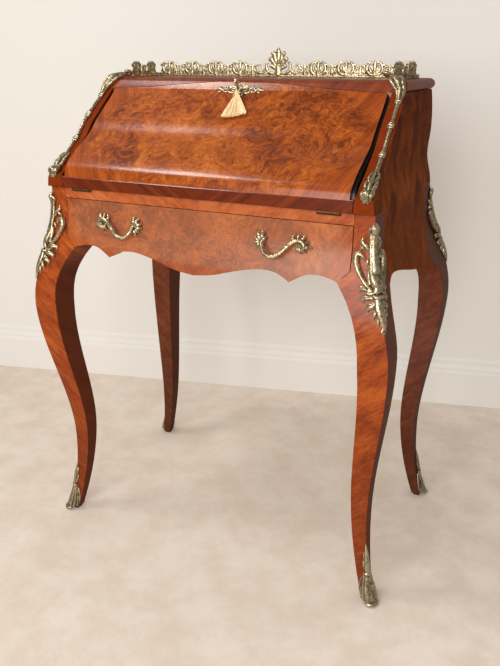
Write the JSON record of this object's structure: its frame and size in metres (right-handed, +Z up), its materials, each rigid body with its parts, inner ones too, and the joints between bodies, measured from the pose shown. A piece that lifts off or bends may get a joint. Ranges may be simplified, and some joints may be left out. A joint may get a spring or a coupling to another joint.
{
  "type": "writing desk",
  "caption": "Lady's writing desk on cabriole legs with a sloping fall front, an apron drawer, pierced gallery and gilt mounts.",
  "frame": {"origin": "on the floor, midway between the four feet", "axes": "+X to the desk's right as seen from its front, +Y to its back, +Z up"},
  "size_m": [0.7216, 0.4722, 0.9564],
  "materials": {
    "kingwood": "french-polished crossbanded veneer",
    "side_veneer": "dark french-polished quartered veneer",
    "burr_walnut": "french-polished mottled burr veneer",
    "inside_wood": "waxed veneer",
    "oak": "bare planed wood",
    "gilt_bronze": "cast and chased, aged pale gold with dark recesses",
    "brass": "worn polished metal",
    "steel": "filed and oiled",
    "leather": "dark green, with a tooled border",
    "silk": "twisted silk threads",
    "glide": "dull black"
  },
  "bodies": {
    "case": {"back_panel": "side_veneer", "case_hinge_leaves": "brass", "drawer_runners": "oak", "foot_glides": "glide", "front_rail": "kingwood", "gallery_back": "gilt_bronze", "gallery_left": "gilt_bronze", "gallery_right": "gilt_bronze", "knee_mount_back_left": "gilt_bronze", "knee_mount_back_right": "gilt_bronze", "knee_mount_front_left": "gilt_bronze", "knee_mount_front_right": "gilt_bronze", "leg_back_left": "kingwood", "leg_back_right": "kingwood", "leg_front_left": "kingwood", "leg_front_right": "kingwood", "lock_keeper": "brass", "lock_rail": "inside_wood", "pigeonholes": "inside_wood", "sabot_back_left": "gilt_bronze", "sabot_back_right": "gilt_bronze", "sabot_front_left": "gilt_bronze", "sabot_front_right": "gilt_bronze", "side_left": "side_veneer", "side_right": "side_veneer", "slope_mount_left": "gilt_bronze", "slope_mount_right": "gilt_bronze", "stay_posts": "steel", "top_board": "kingwood", "writing_board": "inside_wood", "writing_leather": "leather"},
    "fall": {"fall_panel": "burr_walnut", "fall_leather": "leather", "fall_hinge_leaves": "brass", "hinge_pins": "steel", "escutcheon": "gilt_bronze", "lock_case": "brass", "stay_lugs": "brass"},
    "stay_arm_left": {"stay_arm_left": "brass"},
    "stay_arm_right": {"stay_arm_right": "brass"},
    "stay_link_left": {"stay_link_left": "brass"},
    "stay_link_right": {"stay_link_right": "brass"},
    "lock_bolt": {"lock_bolt": "steel"},
    "key": {"key": "steel"},
    "tassel": {"tassel_cord": "silk", "tassel_head": "silk", "tassel_skirt": "silk"},
    "drawer": {"drawer_front": "burr_walnut", "drawer_box": "oak", "drawer_bottom": "oak", "handle_left": "gilt_bronze", "handle_right": "gilt_bronze", "handle_nuts": "steel"},
    "small_drawer_left": {"small_drawer_left": "inside_wood", "small_knob_left": "brass"},
    "small_drawer_middle": {"small_drawer_middle": "inside_wood", "small_knob_middle": "brass"},
    "small_drawer_right": {"small_drawer_right": "inside_wood", "small_knob_right": "brass"}
  },
  "joints": [
    {"name": "fall_hinge", "type": "hinge", "parent": "case", "child": "fall", "pos_m": [0, -0.208, 0.717], "axis": [1, 0, 0], "range_deg": [0, 141]},
    {"name": "stay_arm_left_pivot", "type": "hinge", "parent": "case", "child": "stay_arm_left", "pos_m": [-0.2739, -0.108, 0.726], "axis": [1, 0, 0], "range_deg": [0, 141]},
    {"name": "stay_link_left_pivot", "type": "hinge", "parent": "fall", "child": "stay_link_left", "pos_m": [-0.2712, -0.12462, 0.77294], "axis": [1, 0, 0], "range_deg": [-141, 0]},
    {"name": "stay_arm_right_pivot", "type": "hinge", "parent": "case", "child": "stay_arm_right", "pos_m": [0.2739, -0.108, 0.726], "axis": [1, 0, 0], "range_deg": [0, 141]},
    {"name": "stay_link_right_pivot", "type": "hinge", "parent": "fall", "child": "stay_link_right", "pos_m": [0.2712, -0.12462, 0.77294], "axis": [1, 0, 0], "range_deg": [-141, 0]},
    {"name": "key_turn", "type": "hinge", "parent": "fall", "child": "key", "pos_m": [0, -0.0255, 0.86479], "axis": [0, -0.6293, 0.7771], "range_deg": [0, 90]},
    {"name": "lock_bolt_slide", "type": "slide", "parent": "fall", "child": "lock_bolt", "axis": [0, 0.7771, 0.6293], "range_m": [0, 0.008]},
    {"name": "tassel_swing", "type": "hinge", "parent": "fall", "child": "tassel", "pos_m": [0, -0.0255, 0.86479], "axis": [0, -0.6293, 0.7771], "range_deg": [-35, 35]},
    {"name": "drawer_slide", "type": "slide", "parent": "case", "child": "drawer", "axis": [0, 1, 0], "range_m": [-0.24, 0]},
    {"name": "small_drawer_left_slide", "type": "slide", "parent": "case", "child": "small_drawer_left", "axis": [0, -1, 0], "range_m": [0, 0.11]},
    {"name": "small_drawer_middle_slide", "type": "slide", "parent": "case", "child": "small_drawer_middle", "axis": [0, -1, 0], "range_m": [0, 0.11]},
    {"name": "small_drawer_right_slide", "type": "slide", "parent": "case", "child": "small_drawer_right", "axis": [0, -1, 0], "range_m": [0, 0.11]}
  ],
  "couplings": [
    {"joint": "stay_arm_left_pivot", "follows": "fall_hinge", "ratio": 1},
    {"joint": "stay_link_left_pivot", "follows": "fall_hinge", "ratio": -1},
    {"joint": "stay_arm_right_pivot", "follows": "fall_hinge", "ratio": 1},
    {"joint": "stay_link_right_pivot", "follows": "fall_hinge", "ratio": -1},
    {"joint": "lock_bolt_slide", "follows": "key_turn", "m_per_rad": 0.00509}
  ]
}
